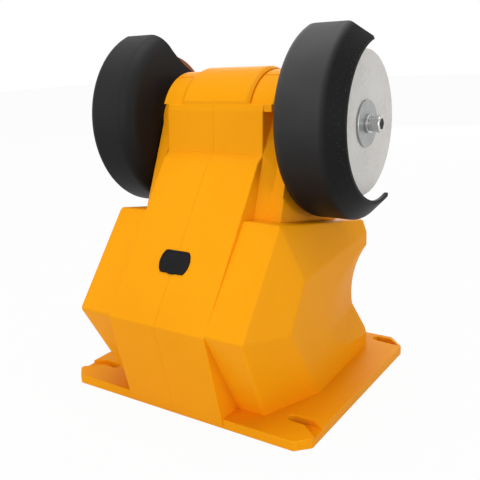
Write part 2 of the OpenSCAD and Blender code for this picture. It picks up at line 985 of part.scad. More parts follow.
housing_left();
housing_right();
housing_screws();
guard_left();
guard_right();
guard_screws();
motor_can();
end_bell_left();
end_bell_right();
magnets();
bearings();
brush_holders();
brushes();
shaft();
rotor_core();
windings();
commutator();
arbor_left();
arbor_right();
felt_wheel();
stone_wheel();
clamp_washers();
spring_washers();
clamp_screws();
battery_cells();
battery_tray();
battery_cap();
cell_links();
control_board();
board_screws();
charge_socket();
port_cover();
switch_body();
switch_nut();
power_button();
wires();
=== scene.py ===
"""Looks of a mini bench grinder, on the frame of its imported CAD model."""
import json
import math

import bmesh
import bpy
from mathutils import Matrix, Vector


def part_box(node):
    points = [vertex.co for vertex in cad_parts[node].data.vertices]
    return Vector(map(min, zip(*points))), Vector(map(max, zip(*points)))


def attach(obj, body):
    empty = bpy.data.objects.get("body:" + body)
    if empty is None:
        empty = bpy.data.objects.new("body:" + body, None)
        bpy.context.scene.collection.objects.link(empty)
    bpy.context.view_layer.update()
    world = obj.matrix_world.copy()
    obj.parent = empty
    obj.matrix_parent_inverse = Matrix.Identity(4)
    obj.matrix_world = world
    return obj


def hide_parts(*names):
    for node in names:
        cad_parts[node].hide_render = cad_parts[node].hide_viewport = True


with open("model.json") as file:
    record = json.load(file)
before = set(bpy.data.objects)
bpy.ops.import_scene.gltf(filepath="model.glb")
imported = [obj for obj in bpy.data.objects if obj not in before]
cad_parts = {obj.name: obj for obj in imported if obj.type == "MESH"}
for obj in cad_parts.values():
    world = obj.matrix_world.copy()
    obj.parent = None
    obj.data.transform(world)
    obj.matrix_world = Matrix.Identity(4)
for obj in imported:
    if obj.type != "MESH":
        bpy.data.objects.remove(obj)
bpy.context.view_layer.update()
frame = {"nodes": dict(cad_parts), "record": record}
nodes = frame["nodes"]

MM = 0.001
AXIS = (-9.8, 149.5)
GUARD_CENTRE = (-15.0, 150.6)
FRONT_Y = -54
BUTTON_Z = 58
COVER = (19.2, 12.4)
PORT = (0, 24 + 0.635 * 56.6, 134 - 0.635 * 78.5)
ON_SLOPE = Matrix.Translation(Vector(PORT) * MM) @ Matrix.Rotation(-math.atan2(78.5, 56.6), 4, "X")
FACING_FRONT = Matrix.Translation(Vector((0, FRONT_Y, BUTTON_Z)) * MM) @ Matrix.Rotation(math.pi / 2, 4, "Z")

# Camera

CAMERA_AT = Vector((-0.21466, 0.31278, 0.18705))
CAMERA_AIM = Vector((0.54326, -0.79488, -0.27026))
CAMERA_ROLL = math.radians(-2.72)
CAMERA_LENS = 49.68
CAMERA_SENSOR = 36
CAMERA_NEAR = 0.01


def set_camera():
    side = CAMERA_AIM.cross(Vector((0, 0, 1))).normalized()
    up = side.cross(CAMERA_AIM).normalized()
    right = side * math.cos(CAMERA_ROLL) + up * math.sin(CAMERA_ROLL)
    top = up * math.cos(CAMERA_ROLL) - side * math.sin(CAMERA_ROLL)
    turn = Matrix((right, top, -CAMERA_AIM.normalized())).transposed()
    data = bpy.data.cameras.new("photo_camera")
    data.lens = CAMERA_LENS
    data.sensor_width = CAMERA_SENSOR
    data.clip_start = CAMERA_NEAR
    camera = bpy.data.objects.new("photo_camera", data)
    camera.matrix_world = Matrix.Translation(CAMERA_AT) @ turn.to_4x4()
    bpy.context.scene.collection.objects.link(camera)
    bpy.context.scene.camera = camera


# Shader node groups


def new_group(name, inputs, outputs):
    """An empty node group with a vector input, named number inputs and named number outputs."""
    tree = bpy.data.node_groups.new(name, "ShaderNodeTree")
    tree.interface.new_socket("Vector", in_out="INPUT", socket_type="NodeSocketVector")
    for label, value in inputs:
        tree.interface.new_socket(label, in_out="INPUT", socket_type="NodeSocketFloat").default_value = value
    for label in outputs:
        tree.interface.new_socket(label, in_out="OUTPUT", socket_type="NodeSocketFloat")
    return tree, tree.nodes.new("NodeGroupInput").outputs, tree.nodes.new("NodeGroupOutput").inputs


def put(tree, kind, links=(), **values):
    """A node of that kind with its own settings; links are (its input, the socket that feeds it)."""
    node = tree.nodes.new(kind)
    for key, value in values.items():
        setattr(node, key, value)
    for socket, source in links:
        if isinstance(source, bpy.types.NodeSocket):
            tree.links.new(source, node.inputs[socket])
        else:
            node.inputs[socket].default_value = source
    return node


def maths(tree, operation, first, second=0.0):
    return put(tree, "ShaderNodeMath", [(0, first), (1, second)], operation=operation).outputs[0]


def spread(tree, value, low, high):
    """The value's range low to high stretched over 0 to 1 and kept inside it."""
    links = [("Value", value), ("From Min", low), ("From Max", high)]
    return put(tree, "ShaderNodeMapRange", links).outputs["Result"]


def noise(tree, vector, scale, detail=2.0, roughness=0.5):
    links = [("Vector", vector), ("Scale", scale), ("Detail", detail), ("Roughness", roughness)]
    return put(tree, "ShaderNodeTexNoise", links).outputs["Fac"]


def moulded_group():
    """Moulded plastic: a slow drift for its colour and a fine satin grain."""
    scales = [("Cloud Scale", 30), ("Grain Scale", 2500)]
    tree, given, out = new_group("moulded", scales, ["Cloud", "Grain"])
    cloud = spread(tree, noise(tree, given["Vector"], given["Cloud Scale"], 3), 0.35, 0.65)
    grain = spread(tree, noise(tree, given["Vector"], given["Grain Scale"], 3, 0.6), 0.3, 0.7)
    tree.links.new(cloud, out["Cloud"])
    tree.links.new(grain, out["Grain"])
    return tree


def turned_group():
    """Turned metal: fine rings about the X line of the vector, broken up by a slow drift."""
    scales = [("Ring Scale", 6000), ("Cloud Scale", 120)]
    tree, given, out = new_group("turned_rings", scales, ["Rings", "Cloud"])
    parts = put(tree, "ShaderNodeSeparateXYZ", [("Vector", given["Vector"])]).outputs
    squares = maths(tree, "ADD", maths(tree, "MULTIPLY", parts["Y"], parts["Y"]),
                    maths(tree, "MULTIPLY", parts["Z"], parts["Z"]))
    radius = maths(tree, "SQRT", squares)
    place = put(tree, "ShaderNodeCombineXYZ", [("X", radius), ("Y", parts["X"])]).outputs[0]
    rings = spread(tree, noise(tree, place, given["Ring Scale"], 2), 0.3, 0.7)
    cloud = spread(tree, noise(tree, given["Vector"], given["Cloud Scale"], 3), 0.3, 0.7)
    tree.links.new(rings, out["Rings"])
    tree.links.new(cloud, out["Cloud"])
    return tree


def grit_group():
    """Loose or bonded grains: a mask of single grains, sized by the scale and chosen by the cover."""
    tree, given, out = new_group("grit", [("Scale", 1500), ("Cover", 0.3)], ["Grains", "Height"])
    cells = put(tree, "ShaderNodeTexVoronoi", [("Vector", given["Vector"]), ("Scale", given["Scale"])])
    tone = put(tree, "ShaderNodeSeparateColor", [("Color", cells.outputs["Color"])]).outputs["Red"]
    chosen = maths(tree, "LESS_THAN", tone, given["Cover"])
    middle = spread(tree, cells.outputs["Distance"], 0.55, 0.25)
    tree.links.new(maths(tree, "MULTIPLY", chosen, middle), out["Grains"])
    tree.links.new(middle, out["Height"])
    return tree


GROUPS = {"moulded": moulded_group(), "turned": turned_group(), "grit": grit_group()}

# Materials

# Sockets of the Mix node for colours, which share their names with those for numbers
MIX_FACTOR, MIX_FIRST, MIX_SECOND, MIX_RESULT = 0, 6, 7, 2
PLASTIC_GRAIN = 0.0001
TURNED_GRAIN = 0.00005
FELT_GRAIN = 0.00025
STONE_GRAIN = 0.0003
# Ranges in metres over which the guards' painted sheen and their dust specks grow or fade. The sheen stands
# in for highlights: it is lighter up the wall, gone at the rim bevel, and stronger on the guard at -X.
SHEEN_UP = (0.112, 0.200)
SHEEN_OUT = (0.0755, 0.0720)
SHEEN_ACROSS = (-0.03, 0.03)
SPECKS_OUT = (0.0735, 0.0815)


def start_material(name, **constants):
    """A material with its shader's constant values set; returns its tree, shader and object coordinates."""
    made = bpy.data.materials.new(name)
    made.use_nodes = True
    tree = made.node_tree
    shader = tree.nodes["Principled BSDF"]
    for key, value in constants.items():
        shader.inputs[key.replace("_", " ")].default_value = value
    return made, tree, shader, tree.nodes.new("ShaderNodeTexCoord").outputs["Object"]


def use_group(tree, name, vector, **values):
    node = put(tree, "ShaderNodeGroup", node_tree=GROUPS[name])
    tree.links.new(vector, node.inputs["Vector"])
    for key, value in values.items():
        node.inputs[key.replace("_", " ")].default_value = value
    return node.outputs


def blend_colours(tree, factor, first, second):
    links = [(MIX_FACTOR, factor), (MIX_FIRST, first), (MIX_SECOND, second)]
    return put(tree, "ShaderNodeMix", links, data_type="RGBA").outputs[MIX_RESULT]


def rgba(colour):
    return (*colour, 1.0)


def feed(tree, shader, colour, roughness, height, bump, depth):
    """Joins colour, roughness and a bump of that height to the shader."""
    tree.links.new(colour, shader.inputs["Base Color"])
    tree.links.new(roughness, shader.inputs["Roughness"])
    links = [("Height", height), ("Strength", bump), ("Distance", depth)]
    tree.links.new(put(tree, "ShaderNodeBump", links).outputs["Normal"], shader.inputs["Normal"])


def between(tree, value, low, high):
    """The value, 0 to 1, laid over the range low to high."""
    links = [("Value", value), ("To Min", low), ("To Max", high)]
    return put(tree, "ShaderNodeMapRange", links).outputs["Result"]


def plastic(name, colour, shade, rough, bump, clouds=30, grain=2500, **constants):
    """Moulded plastic or rubber that drifts between two near colours."""
    made, tree, shader, place = start_material(name, **constants)
    got = use_group(tree, "moulded", place, Cloud_Scale=clouds, Grain_Scale=grain)
    body = blend_colours(tree, got["Cloud"], rgba(colour), rgba(shade))
    feed(tree, shader, body, between(tree, got["Grain"], *rough), got["Grain"], bump, PLASTIC_GRAIN)
    return made


def metal(name, colour, shade, rough, bump, rings=6000):
    """Turned or drawn metal with rings about the spindle's line."""
    made, tree, shader, place = start_material(name, Metallic=1.0)
    shift = (0, -AXIS[0] * MM, -AXIS[1] * MM)
    middle = put(tree, "ShaderNodeMapping", [("Vector", place), ("Location", shift)]).outputs["Vector"]
    got = use_group(tree, "turned", middle, Ring_Scale=rings)
    body = blend_colours(tree, got["Cloud"], rgba(colour), rgba(shade))
    feed(tree, shader, body, between(tree, got["Rings"], *rough), got["Rings"], bump, TURNED_GRAIN)
    return made


def guard_plastic():
    """Black plastic with a painted sheen that lightens it up the wall, standing in for the highlight there,
    and pale dust specks near the rim.
    """
    made, tree, shader, place = start_material("guard_black", Specular_IOR_Level=0.08)
    got = use_group(tree, "moulded", place, Cloud_Scale=45, Grain_Scale=1800)
    parts = put(tree, "ShaderNodeSeparateXYZ", [("Vector", place)]).outputs
    out = maths(tree, "ABSOLUTE", parts["X"])
    # Painted sheen: the black turns lighter towards the top of the wall, not at the rim bevel, and more on
    # the guard at -X, standing in for highlights.
    painted_sheen = maths(tree, "POWER", spread(tree, parts["Z"], *SHEEN_UP), 1.4)
    painted_sheen = maths(tree, "MULTIPLY", painted_sheen, spread(tree, out, *SHEEN_OUT))
    painted_sheen = maths(tree, "MULTIPLY", painted_sheen, between(tree, got["Cloud"], 0.85, 1.0))
    sides = between(tree, spread(tree, parts["X"], *SHEEN_ACROSS), 1.0, 0.25)
    painted_sheen = maths(tree, "MULTIPLY", painted_sheen, sides)
    # The lighter grey is the painted sheen's colour; the pale specks blended in below are dust.
    body = blend_colours(tree, painted_sheen, rgba((0.0075, 0.0075, 0.0077)), rgba((0.080, 0.080, 0.081)))
    dust = use_group(tree, "grit", place, Scale=2100, Cover=0.05)
    specks = maths(tree, "MULTIPLY", dust["Grains"], spread(tree, out, *SPECKS_OUT))
    sheen_and_specks = blend_colours(tree, maths(tree, "MULTIPLY", specks, 0.10), body, rgba((0.55, 0.54, 0.52)))
    feed(tree, shader, sheen_and_specks, between(tree, got["Grain"], 0.42, 0.54), got["Grain"], 0.12, PLASTIC_GRAIN)
    return made


def felt_material():
    """Pressed felt: matted fibres in two sizes, and a slightly grey drift."""
    made, tree, shader, place = start_material("felt_pressed", Specular_IOR_Level=0.2, Sheen_Weight=0.25)
    got = use_group(tree, "moulded", place, Cloud_Scale=70, Grain_Scale=1400)
    fine = use_group(tree, "moulded", place, Cloud_Scale=600, Grain_Scale=5000)
    tone = maths(tree, "MULTIPLY", got["Cloud"], fine["Cloud"])
    body = blend_colours(tree, tone, rgba((0.75, 0.73, 0.70)), rgba((0.66, 0.64, 0.61)))
    height = maths(tree, "ADD", got["Grain"], fine["Grain"])
    feed(tree, shader, body, between(tree, fine["Cloud"], 0.85, 0.97), height, 0.35, FELT_GRAIN)
    return made


def stone_material():
    """Bonded abrasive: red-brown bond with pale and dark grains standing in it."""
    made, tree, shader, place = start_material("stone_bonded", Specular_IOR_Level=0.3)
    got = use_group(tree, "moulded", place, Cloud_Scale=60, Grain_Scale=2200)
    pale = use_group(tree, "grit", place, Scale=1500, Cover=0.25)
    dark = use_group(tree, "grit", place, Scale=1900, Cover=0.18)
    bond = blend_colours(tree, got["Cloud"], rgba((0.50, 0.17, 0.085)), rgba((0.42, 0.14, 0.07)))
    lighter = blend_colours(tree, pale["Grains"], bond, rgba((0.66, 0.33, 0.21)))
    body = blend_colours(tree, dark["Grains"], lighter, rgba((0.24, 0.075, 0.045)))
    height = maths(tree, "ADD", pale["Height"], got["Grain"])
    feed(tree, shader, body, between(tree, got["Grain"], 0.75, 0.95), height, 0.5, STONE_GRAIN)
    return made


ORANGE = (0.90, 0.352, 0.004)
ORANGE_SHADE = (0.86, 0.328, 0.0035)
FINISH = {
    "housing": plastic("housing_orange", ORANGE, ORANGE_SHADE, (0.40, 0.50), 0.06, 14, 1500,
                       Specular_IOR_Level=0.06),
    "guard": guard_plastic(),
    "felt": felt_material(),
    "stone": stone_material(),
    "rubber": plastic("cover_rubber", (0.006, 0.006, 0.007), (0.009, 0.009, 0.010), (0.5, 0.65), 0.12,
                      60, 2600, Specular_IOR_Level=0.1),
    "black_plastic": plastic("inner_black", (0.022, 0.022, 0.024), (0.034, 0.034, 0.036), (0.4, 0.55), 0.1),
    "button": plastic("button_red", (0.42, 0.025, 0.018), (0.34, 0.020, 0.015), (0.3, 0.4), 0.06),
    "wire": plastic("wire_red", (0.36, 0.02, 0.02), (0.28, 0.015, 0.015), (0.45, 0.55), 0.08),
    "cell": plastic("cell_wrap", (0.06, 0.22, 0.27), (0.05, 0.18, 0.23), (0.25, 0.35), 0.04, 20, 900),
    "board": plastic("board_green", (0.02, 0.13, 0.06), (0.015, 0.10, 0.045), (0.3, 0.42), 0.08, 200, 3000),
    "carbon": plastic("brush_carbon", (0.03, 0.03, 0.03), (0.045, 0.045, 0.045), (0.5, 0.65), 0.1),
    "magnet": plastic("ferrite", (0.06, 0.06, 0.065), (0.09, 0.09, 0.095), (0.5, 0.65), 0.15),
    "zinc": metal("zinc_bright", (0.40, 0.41, 0.41), (0.32, 0.33, 0.33), (0.28, 0.42), 0.10),
    "steel": metal("steel_ground", (0.60, 0.60, 0.60), (0.50, 0.50, 0.50), (0.16, 0.28), 0.10),
    "screw": metal("screw_black_zinc", (0.20, 0.20, 0.21), (0.14, 0.14, 0.15), (0.3, 0.45), 0.08),
    "nickel": metal("nickel_strip", (0.66, 0.65, 0.62), (0.58, 0.57, 0.54), (0.25, 0.4), 0.06),
    "lamination": metal("core_sheets", (0.40, 0.41, 0.42), (0.30, 0.31, 0.32), (0.35, 0.5), 0.2, 9000),
    "aluminium": metal("aluminium_turned", (0.66, 0.67, 0.68), (0.58, 0.59, 0.60), (0.3, 0.42), 0.12),
    "copper": metal("copper_wound", (0.70, 0.32, 0.15), (0.58, 0.25, 0.11), (0.28, 0.42), 0.2, 4000),
    "brass": metal("brass_sheet", (0.72, 0.52, 0.22), (0.62, 0.44, 0.18), (0.28, 0.4), 0.06),
}

# Shaping

# Nearest distances in metres at which points count as one, and angles of edges
DOUBLES = 1e-6
ON_PLANE = 1e-5
SLICE = 1e-7
FLAT_CORNER = math.radians(20)
SMOOTH = math.radians(30)


def only(piece):
    """Deselects everything, then selects this piece and makes it active."""
    bpy.ops.object.select_all(action="DESELECT")
    piece.select_set(True)
    bpy.context.view_layer.objects.active = piece


def edit(piece, *mode):
    only(piece)
    bpy.ops.object.mode_set(mode="EDIT")
    if mode:
        bpy.ops.mesh.select_mode(type=mode[0])
    return bmesh.from_edit_mesh(piece.data)


def leave_edit():
    bpy.ops.object.mode_set(mode="OBJECT")


def tidy_mesh(piece):
    """Merges doubles and turns every face outwards."""
    edit(piece)
    bpy.ops.mesh.select_all(action="SELECT")
    bpy.ops.mesh.remove_doubles(threshold=DOUBLES)
    bpy.ops.mesh.delete_loose(use_verts=True, use_edges=True, use_faces=False)
    bpy.ops.mesh.select_all(action="SELECT")
    bpy.ops.mesh.normals_make_consistent(inside=False)
    leave_edit()


def apply_modifier(piece, kind, **values):
    only(piece)
    modifier = piece.modifiers.new(kind.lower(), kind)
    for key, value in values.items():
        setattr(modifier, key, value)
    bpy.ops.object.modifier_apply(modifier=modifier.name)


def round_edges(piece, width, angle=35, segments=3):
    apply_modifier(piece, "BEVEL", width=width * MM, segments=segments, limit_method="ANGLE",
                   angle_limit=math.radians(angle), harden_normals=False)


def cut(piece, cutter, operation="DIFFERENCE"):
    """Takes the cutter away from the piece, or adds it, and removes the cutter."""
    apply_modifier(piece, "BOOLEAN", object=cutter, operation=operation, solver="MANIFOLD")
    bpy.data.objects.remove(cutter)


def rod(name, x0, x1, centre, radius, sides=96):
    """A plain rod along X, for cutting."""
    bpy.ops.object.select_all(action="DESELECT")
    middle = ((x0 + x1) / 2 * MM, centre[0] * MM, centre[1] * MM)
    bpy.ops.mesh.primitive_cylinder_add(vertices=sides, radius=radius * MM, depth=(x1 - x0) * MM,
                                        location=middle, rotation=(0, math.pi / 2, 0))
    piece = bpy.context.object
    piece.name = name
    bpy.ops.object.transform_apply(location=True, rotation=True, scale=True)
    return piece


def block(name, low, high):
    """A plain block between two corners."""
    bpy.ops.object.select_all(action="DESELECT")
    low, high = Vector(low) * MM, Vector(high) * MM
    bpy.ops.mesh.primitive_cube_add(size=1, location=(low + high) / 2, scale=high - low)
    piece = bpy.context.object
    piece.name = name
    bpy.ops.object.transform_apply(location=True, rotation=True, scale=True)
    return piece


def flatted(name, width, height, low, high):
    """A disc with two flats, its corners a little rounded, lying on the XY plane."""
    piece = placed(rod(name, low, high, (0, 0), width / 2, 96), Matrix.Rotation(-math.pi / 2, 4, "Y"))
    cut(piece, block("flats", (-width, -height / 2, low - 1), (width, height / 2, high + 1)), "INTERSECT")
    edit(piece, "EDGE")
    bpy.ops.mesh.select_all(action="DESELECT")
    mesh = bmesh.from_edit_mesh(piece.data)
    for e in mesh.edges:
        upright = abs(e.verts[0].co.z - e.verts[1].co.z) > ON_PLANE
        e.select = upright and len(e.link_faces) == 2 and e.calc_face_angle() > FLAT_CORNER
    bmesh.update_edit_mesh(piece.data)
    bpy.ops.mesh.bevel(offset=0.07 * width * MM, segments=5, affect="EDGES")
    leave_edit()
    return piece


def filled_outline(name, points):
    """Starts a piece as one flat face through the points, and stays in edit mode with it selected."""
    bpy.ops.object.select_all(action="DESELECT")
    bpy.ops.mesh.primitive_plane_add(size=MM)
    piece = bpy.context.object
    piece.name = name
    edit(piece, "VERT")
    bpy.ops.mesh.select_all(action="SELECT")
    bpy.ops.mesh.merge(type="CENTER")
    bpy.ops.transform.translate(value=points[0])
    for a, b in zip(points, points[1:]):
        bpy.ops.mesh.extrude_region_move(TRANSFORM_OT_translate={"value": b - a})
    bpy.ops.mesh.select_all(action="SELECT")
    bpy.ops.mesh.edge_face_add()
    return piece


def prism(name, plan, low, high):
    """An upright piece with a plan outline of (x, y) points."""
    piece = filled_outline(name, [Vector((x, y, low)) * MM for x, y in plan])
    bpy.ops.mesh.extrude_region_move(TRANSFORM_OT_translate={"value": (0, 0, (high - low) * MM)})
    leave_edit()
    tidy_mesh(piece)
    return piece


def turned(name, outline, centre=AXIS, steps=128, turn=math.tau):
    """A piece spun about the X line through centre from a closed outline of (x, radius, corner radius)."""
    points = [Vector((x, centre[0], centre[1] + r)) * MM for x, r, _ in outline]
    piece = filled_outline(name, points)
    for size in sorted({corner for _, _, corner in outline if corner}):
        spots = [p for p, (_, _, corner) in zip(points, outline) if corner == size]
        mesh = bmesh.from_edit_mesh(piece.data)
        for v in mesh.verts:
            v.select = any((v.co - p).length < DOUBLES for p in spots)
        mesh.select_flush_mode()
        bmesh.update_edit_mesh(piece.data)
        segments = 10 if size > 3 else 4
        bpy.ops.mesh.bevel(offset=size * MM, segments=segments, affect="VERTICES", clamp_overlap=False)
    bpy.ops.mesh.select_all(action="SELECT")
    if turn == math.tau:
        bpy.ops.mesh.delete(type="ONLY_FACE")
        bpy.ops.mesh.select_all(action="SELECT")
    bpy.ops.mesh.spin(steps=steps, angle=turn, center=(0, centre[0] * MM, centre[1] * MM), axis=(1, 0, 0))
    leave_edit()
    tidy_mesh(piece)
    return piece


def mirrored(piece, name):
    """The piece copied to the other side of the middle plane."""
    copy = bpy.data.objects.new(name, piece.data.copy())
    bpy.context.scene.collection.objects.link(copy)
    edit(copy)
    bpy.ops.mesh.select_all(action="SELECT")
    bpy.ops.transform.resize(value=(-1, 1, 1), center_override=(0, 0, 0))
    leave_edit()
    tidy_mesh(copy)
    return copy


def placed(piece, matrix):
    """Moves a piece that was made at the origin to its place and applies the move."""
    piece.matrix_world = matrix
    only(piece)
    bpy.ops.object.transform_apply(location=True, rotation=True, scale=True)
    return piece


def done(piece, body, slot, node):
    """Smooths the piece, gives it its finish, ties it to its body and hides the CAD node that it stands for.
    """
    only(piece)
    bpy.ops.object.shade_smooth_by_angle(angle=SMOOTH)
    apply_modifier(piece, "WEIGHTED_NORMAL", keep_sharp=True)
    piece.data.materials.clear()
    piece.data.materials.append(FINISH[slot])
    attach(piece, body)
    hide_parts(node)


# Housing halves

WALL = 2.5
HALF_GAP = 0.045
FLOOR_T = 3
PLATE_T = 5.5
PLATE = [(-7, -68.5), (69.5, -68.5), (80, -58), (80, 61.5), (73, 68.5), (-7, 68.5)]
SLOT_IN = 62.7
SLOT_R = 3
REAR_SLOT = (49, [(72.5, -SLOT_R), (81, 2.7), (81, 11), (70.5, SLOT_R)])
FRONT_SLOT = (-62.5, [(69.7, -SLOT_R), (77.3, 3.6), (74, 4.2)])
SLOT_FLOOR = ((67.7, 0, 0.8), (67.7, 10, 0.8), (82, 0, 4.7))
PANEL_HALF = 31.7
NECK_TOP = 158
INSIDE = Vector((0, 0, 40))
SCOOP_R = 58
SCOOP_TURN = Matrix.Rotation(math.atan2(-14, 65), 4, "Z") @ Matrix.Rotation(math.radians(6), 4, "X")
SCOOP = Matrix.Translation((0.12133, 0.011, 0.046)) @ SCOOP_TURN
FLARE = ((48.7, FRONT_Y, 30), (59.1, FRONT_Y, 12.8), (61.5, -8.5, 18.7))
SHOULDER = (53, 41.29, 105)
CREASE = (53.3, 80, 56)
HIP = (63.7, 52, 51)
SIDE = (63, 34.2, 75.6)
FOOT_REAR = (48.5, 55, 5.5)
NECK = (45.6, 28, 103)
NECK_UP = (44, 5.45, NECK_TOP)
SLOPE_TOP = (0, 24, 134)
SLOPE_LOW = (0, 80.6, 55.5)
SHELF = (0, 20.5, 135.4)
SHELF_LOW = (0, 25.36, 132.12)
BLOCK_TOP = (0, 18.8, 158)
LEDGE = (0, 17.6, 161.8)
FLANK = (38.7, 17.9, 127.8)
PEDESTAL_FACETS = [
    (SHOULDER, CREASE, (0, 80, 56)),
    (CREASE, (0, 80, 56), FOOT_REAR),
    (SHOULDER, CREASE, HIP),
    (CREASE, FOOT_REAR, (62.2, 20.5, 5.5)),
    ((63, 34.2, 0), (59.2, FRONT_Y, 0), SIDE),
    (SHOULDER, SIDE, (59.2, FRONT_Y, 79.5)),
    (SHOULDER, (0, 41.29, 105), (0, FRONT_Y, 86.5)),
    ((0, FRONT_Y, 0), (10, FRONT_Y, 0), (0, FRONT_Y, 50)),
]
NECK_FACETS = [
    (NECK, NECK_UP, (45.6, 18, 103)),
    (NECK, NECK_UP, (0, 28, 103)),
    ((0, -36, 0), (10, -36, 0), (0, -36, 50)),
    ((0, 0, NECK_TOP), (10, 0, NECK_TOP), (0, 10, NECK_TOP)),
]
PANEL_FACETS = [
    (SHELF, (10, *SHELF[1:]), SHELF_LOW),
    (SLOPE_TOP, (10, *SLOPE_TOP[1:]), SLOPE_LOW),
    (SLOPE_LOW, (10, *SLOPE_LOW[1:]), (0, 69.1, 0)),
]
BLOCK_FACETS = [(SHELF, (10, *SHELF[1:]), BLOCK_TOP), (BLOCK_TOP, (10, *BLOCK_TOP[1:]), LEDGE)]
GUSSET_FACETS = [
    ((31.7, 6.35, 157), (31.7, 20.2, 136), FLANK),
    ((31.7, 20.2, 136), (37, 27.5, 104.5), FLANK),
]
LEDGE_END = ((-36.4, AXIS[0], 157.6), (0.12 - PANEL_HALF, 17.8, 161.5))
PEDESTAL_ROUND = 1.2
FRONT_ROUND = 3.4
NECK_ROUND = 1.0
GUSSET_ROUND = 0.6
PANEL_ROUND = 0.9
BLOCK_ROUND = 0.7
PLATE_ROUND = 0.5
LEDGE_ROUND = 0.4
BARREL_R = 28.5
BARREL_HALF = 36.5
BARREL_SPACE_R = 26
BAND_R = 30.5
BAND_EDGE = (20.75, 23.25)
BAND_GROOVE = [(-22.5, 28, 0), (-22.5, 32, 0), (-23.5, 32, 0), (-23.5, 28, 0)]
SEAM_TURN = math.radians(66)
SEAM = (AXIS[0] + BARREL_R * math.cos(SEAM_TURN), AXIS[1] + BARREL_R * math.sin(SEAM_TURN))
SEAM_R = 0.5
HUB_R = 17
HUB_X = (29.3, 45)
SHAFT_BORE_R = 6
GUARD_SEAT = (44.7, 52.9)
TOWERS = [(58, 38), (-42, 20), (-42, 70.5), (8, 110), (-26, 121)]
TOWER_R = 4.3
SCREW_R = 1.7
SCREW_HEAD_R = 3.1
SCREW_HEAD_X = 14
RIBS_X = (5, 19)
RIB_W = 3
RIB_R = (21.15, 26.3)
POST_X = 17
POST_Y = 11
POST_R = 3
SWITCH_HOLE_R = 8.15


def slice_along(piece, facet, inset, keep_inner=True):
    """Cuts the piece along a facet's plane, moved in by inset, and keeps one side of it."""
    a, b, c = map(Vector, facet)
    normal = (b - a).cross(c - a).normalized()
    if normal.dot(INSIDE - a) > 0:
        normal.negate()
    edit(piece)
    bpy.ops.mesh.select_all(action="SELECT")
    bpy.ops.mesh.bisect(plane_co=(a - normal * inset) * MM, plane_no=normal, use_fill=True, threshold=SLICE,
                        clear_outer=keep_inner, clear_inner=not keep_inner)
    leave_edit()


def faceted(name, facets, low, high, inset=0.0):
    """A block between two corners, cut along each facet's plane, which may be moved in."""
    piece = block(name, low, high)
    for facet in facets:
        slice_along(piece, facet, inset)
    return piece


def round_front_more(piece, width, front):
    """Rounds all edges of the piece, and those of its front face to the larger width."""
    edit(piece, "EDGE")
    bpy.ops.mesh.select_all(action="DESELECT")
    bpy.ops.mesh.edges_select_sharp(sharpness=math.radians(8))
    bpy.ops.transform.edge_bevelweight(value=width / front)
    mesh = bmesh.from_edit_mesh(piece.data)
    for e in mesh.edges:
        e.select = all(abs(v.co.y - FRONT_Y * MM) < ON_PLANE for v in e.verts)
    bmesh.update_edit_mesh(piece.data)
    bpy.ops.transform.edge_bevelweight(value=1 - width / front)
    leave_edit()
    apply_modifier(piece, "BEVEL", width=front * MM, segments=5, limit_method="WEIGHT")


def scooped_pedestal(name, bottom, inset):
    """The pedestal's right half with the scoop in its side, its edges rounded where it has no inset."""
    piece = faceted(name, PEDESTAL_FACETS, (-2 - 2 * inset, -99, bottom), (99, 99, 140), inset)
    if not inset:
        round_front_more(piece, PEDESTAL_ROUND, FRONT_ROUND)
    scoop = rod("scoop", -110, 110, (0, 0), SCOOP_R + inset, 160)
    placed(scoop, SCOOP @ Matrix.Rotation(math.pi / 2, 4, "Z"))
    slice_along(scoop, FLARE, inset, keep_inner=False)
    cut(piece, scoop)
    return piece


def bolt_slot(y, mouth):
    """Cutter for a slot at y: through at its inner end, with a floor that rises to the plate's side."""
    plan = [(SLOT_IN, SLOT_R), (SLOT_IN, -SLOT_R), *mouth]
    slot = prism("slot", [(px, y + py) for px, py in plan], -2, 8)
    end = rod("slot_end", -2, 8, (0, 0), SLOT_R, 48)
    placed(end, Matrix.Translation((SLOT_IN * MM, y * MM, 0)) @ Matrix.Rotation(-math.pi / 2, 4, "Y"))
    cut(slot, end, "UNION")
    floor = block("slot_floor", (SLOT_FLOOR[0][0], y - 20, -3), (90, y + 20, 7))
    slice_along(floor, SLOT_FLOOR, 0, keep_inner=False)
    cut(slot, floor)
    return slot


def base_plate():
    """The right half of the base plate, with its cut corners and bolt slots."""
    piece = prism("plate", PLATE, 0, PLATE_T)
    cut(piece, bolt_slot(*REAR_SLOT))
    cut(piece, bolt_slot(*FRONT_SLOT))
    return piece


# The parts of the right half start at different places past the middle, so that no two end faces coincide


def inner_space():
    """The hollow of the right half, less the material of its screw towers, motor ribs and board posts."""
    space = scooped_pedestal("space", -5, WALL)
    cut(space, faceted("neck_space", NECK_FACETS, (-9, -99, 62), (99, 99, 170), WALL), "UNION")
    panel_x = PANEL_HALF - WALL
    cut(space, faceted("panel_space", PANEL_FACETS, (-10, 0, -6), (panel_x, 99, 150), WALL), "UNION")
    block_top = (panel_x - 0.01, 99, LEDGE[2] - WALL)
    cut(space, faceted("block_space", BLOCK_FACETS, (-11, AXIS[0], 100), block_top, WALL), "UNION")
    cut(space, rod("barrel_space", -12, panel_x - 0.02, AXIS, BARREL_SPACE_R), "UNION")
    cut(space, block("floor_space", (-30, -150, -50), (150, 150, FLOOR_T)))
    for y, z in TOWERS:
        cut(space, rod("tower", -20, 90, (y, z), TOWER_R, 40))
    for x in RIBS_X:
        rib = rod("rib", x, x + RIB_W, AXIS, RIB_R[1])
        cut(rib, rod("rib_bore", x - 1, x + RIB_W + 1, AXIS, RIB_R[0]))
        cut(space, rib)
    for y in (-POST_Y, POST_Y):
        post = rod("post", -12, -1, (0, 0), POST_R, 32)
        local = Matrix.Translation(Vector((POST_X, y, 0)) * MM) @ Matrix.Rotation(-math.pi / 2, 4, "Y")
        cut(space, placed(post, ON_SLOPE @ local))
    return space


